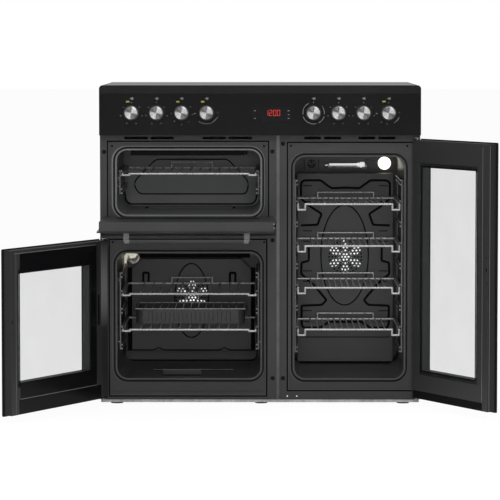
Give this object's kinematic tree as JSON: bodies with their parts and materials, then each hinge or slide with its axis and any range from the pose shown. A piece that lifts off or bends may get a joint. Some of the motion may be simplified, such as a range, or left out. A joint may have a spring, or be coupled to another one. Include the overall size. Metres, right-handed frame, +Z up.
{
  "type": "range_cooker",
  "caption": "Free-standing range cooker in black and dark grey: glass hob, eight knobs, a drop-down grill door over a fan oven and a tall side oven, all three doors open.",
  "frame": {"origin": "on the floor, under the centre of the 900 by 600 mm body", "axes": "+X to the user's right, +Y to the wall behind, +Z up"},
  "size_m": [1.3353, 1.0029, 0.9],
  "materials": {
    "black_panel": "gloss black enamelled steel",
    "dark_enamel_panel": "satin dark painted steel",
    "grey_front_frame": "satin dark grey enamelled steel",
    "grey_door_frame": "satin dark grey painted sheet",
    "light_trim": "light satin trim strip",
    "galvanised": "galvanised sheet steel",
    "screw_steel": "zinc plated steel",
    "oven_enamel": "dark grey speckled vitreous enamel",
    "rack_chrome": "chromed steel wire",
    "element_steel": "heat-darkened heating rod",
    "handle_finish": "dark satin metal bar",
    "knob_finish": "silver face on a black skirt",
    "black_plastic": "matt black plastic",
    "black_rubber": "black silicone rubber",
    "amber_lamp": "translucent amber lens",
    "display_glass": "black clock window",
    "hob_ceramic_glass": "black ceramic glass",
    "heater_insulation": "pressed insulating fibre",
    "lamp_glass": "frosted lamp glass",
    "door_glass": "toughened glass with a black printed border"
  },
  "bodies": {
    "root": {"base_frame": "galvanised", "feet": "black_plastic", "plinth_screws": "screw_steel", "side_panels": "dark_enamel_panel", "rear_panel": "galvanised", "terminal_box": "black_plastic", "front_frame_left": "grey_front_frame", "front_frame_right": "grey_front_frame", "centre_trim": "light_trim", "door_buffers": "black_rubber", "hinge_brackets": "screw_steel", "door_seals": "black_rubber", "control_panel": "black_panel", "display_window": "display_glass", "indicator_lamps": "amber_lamp", "heat_regulators": "black_plastic", "hob_trim": "black_panel", "hob_glass": "hob_ceramic_glass", "hob_heaters": "heater_insulation", "grill_cavity": "oven_enamel", "main_cavity": "oven_enamel", "tall_cavity": "oven_enamel", "grill_element": "element_steel", "ring_elements": "element_steel", "fan_covers": "oven_enamel", "fan_motors": "galvanised", "oven_lamps": "lamp_glass", "heat_sensor": "rack_chrome", "wire_side_rails": "rack_chrome"},
    "main_fan": {"main_fan": "galvanised"},
    "tall_fan": {"tall_fan": "galvanised"},
    "grill_rack": {"grill_rack": "rack_chrome"},
    "main_rack_upper": {"main_rack_upper": "rack_chrome"},
    "main_rack_lower": {"main_rack_lower": "rack_chrome"},
    "tall_rack_1": {"tall_rack_1": "rack_chrome"},
    "tall_rack_2": {"tall_rack_2": "rack_chrome"},
    "tall_rack_3": {"tall_rack_3": "rack_chrome"},
    "tall_rack_4": {"tall_rack_4": "rack_chrome"},
    "roasting_tray": {"roasting_tray": "oven_enamel", "tray_grid": "rack_chrome"},
    "pan_handle": {"pan_handle": "rack_chrome"},
    "grill_door": {"grill_door_outer_glass": "door_glass", "grill_door_frame": "grey_door_frame", "grill_door_handle": "handle_finish"},
    "main_door": {"main_door_outer_glass": "door_glass", "main_door_frame": "grey_door_frame", "main_door_inner_glass": "door_glass", "main_door_handle": "handle_finish"},
    "tall_door": {"tall_door_outer_glass": "door_glass", "tall_door_frame": "grey_door_frame", "tall_door_inner_glass": "door_glass", "tall_door_handle": "handle_finish"},
    "knob_1": {"knob_1": "knob_finish"},
    "knob_2": {"knob_2": "knob_finish"},
    "knob_3": {"knob_3": "knob_finish"},
    "knob_4": {"knob_4": "knob_finish"},
    "knob_5": {"knob_5": "knob_finish"},
    "knob_6": {"knob_6": "knob_finish"},
    "knob_7": {"knob_7": "knob_finish"},
    "knob_8": {"knob_8": "knob_finish"}
  },
  "joints": [
    {"name": "main_door_hinge", "type": "hinge", "parent": "root", "child": "main_door", "pos_m": [-0.442, -0.275, 0.24], "axis": [0, 0, 1], "range_deg": [0, 119]},
    {"name": "tall_door_hinge", "type": "hinge", "parent": "root", "child": "tall_door", "pos_m": [0.442, -0.275, 0.38], "axis": [0, 0, -1], "range_deg": [0, 119]},
    {"name": "grill_door_hinge", "type": "hinge", "parent": "root", "child": "grill_door", "pos_m": [-0.201, -0.283, 0.5095], "axis": [-1, 0, 0], "range_deg": [0, 90]},
    {"name": "grill_rack_slide", "type": "slide", "parent": "root", "child": "grill_rack", "axis": [0, 1, 0], "range_m": [-0.35, 0]},
    {"name": "main_rack_upper_slide", "type": "slide", "parent": "root", "child": "main_rack_upper", "axis": [0, 1, 0], "range_m": [-0.33, 0]},
    {"name": "main_rack_lower_slide", "type": "slide", "parent": "root", "child": "main_rack_lower", "axis": [0, 1, 0], "range_m": [-0.33, 0]},
    {"name": "tall_rack_1_slide", "type": "slide", "parent": "root", "child": "tall_rack_1", "axis": [0, 1, 0], "range_m": [-0.28, 0]},
    {"name": "tall_rack_2_slide", "type": "slide", "parent": "root", "child": "tall_rack_2", "axis": [0, 1, 0], "range_m": [-0.28, 0]},
    {"name": "tall_rack_3_slide", "type": "slide", "parent": "root", "child": "tall_rack_3", "axis": [0, 1, 0], "range_m": [-0.28, 0]},
    {"name": "tall_rack_4_slide", "type": "slide", "parent": "root", "child": "tall_rack_4", "axis": [0, 1, 0], "range_m": [-0.28, 0]},
    {"name": "roasting_tray_slide", "type": "slide", "parent": "main_rack_lower", "child": "roasting_tray", "axis": [0, 1, 0], "range_m": [-0.36, 0]},
    {"name": "pan_handle_slide", "type": "slide", "parent": "root", "child": "pan_handle", "axis": [0, 1, 0], "range_m": [-0.25, 0]},
    {"name": "knob_1_turn", "type": "hinge", "parent": "root", "child": "knob_1", "pos_m": [-0.3595, -0.31, 0.8233], "axis": [0, 1, 0], "continuous": true},
    {"name": "knob_2_turn", "type": "hinge", "parent": "root", "child": "knob_2", "pos_m": [-0.2895, -0.31, 0.8233], "axis": [0, 1, 0], "continuous": true},
    {"name": "knob_3_turn", "type": "hinge", "parent": "root", "child": "knob_3", "pos_m": [-0.2195, -0.31, 0.8233], "axis": [0, 1, 0], "range_deg": [0, 270]},
    {"name": "knob_4_turn", "type": "hinge", "parent": "root", "child": "knob_4", "pos_m": [-0.1495, -0.31, 0.8233], "axis": [0, 1, 0], "range_deg": [0, 270]},
    {"name": "knob_5_turn", "type": "hinge", "parent": "root", "child": "knob_5", "pos_m": [0.1495, -0.31, 0.8233], "axis": [0, 1, 0], "range_deg": [0, 270]},
    {"name": "knob_6_turn", "type": "hinge", "parent": "root", "child": "knob_6", "pos_m": [0.2195, -0.31, 0.8233], "axis": [0, 1, 0], "continuous": true},
    {"name": "knob_7_turn", "type": "hinge", "parent": "root", "child": "knob_7", "pos_m": [0.2895, -0.31, 0.8233], "axis": [0, 1, 0], "continuous": true},
    {"name": "knob_8_turn", "type": "hinge", "parent": "root", "child": "knob_8", "pos_m": [0.3595, -0.31, 0.8233], "axis": [0, 1, 0], "range_deg": [0, 270]},
    {"name": "main_fan_spin", "type": "hinge", "parent": "root", "child": "main_fan", "pos_m": [-0.2007, 0.19, 0.2645], "axis": [0, 1, 0], "continuous": true},
    {"name": "tall_fan_spin", "type": "hinge", "parent": "root", "child": "tall_fan", "pos_m": [0.25145, 0.19, 0.388], "axis": [0, 1, 0], "continuous": true}
  ]
}
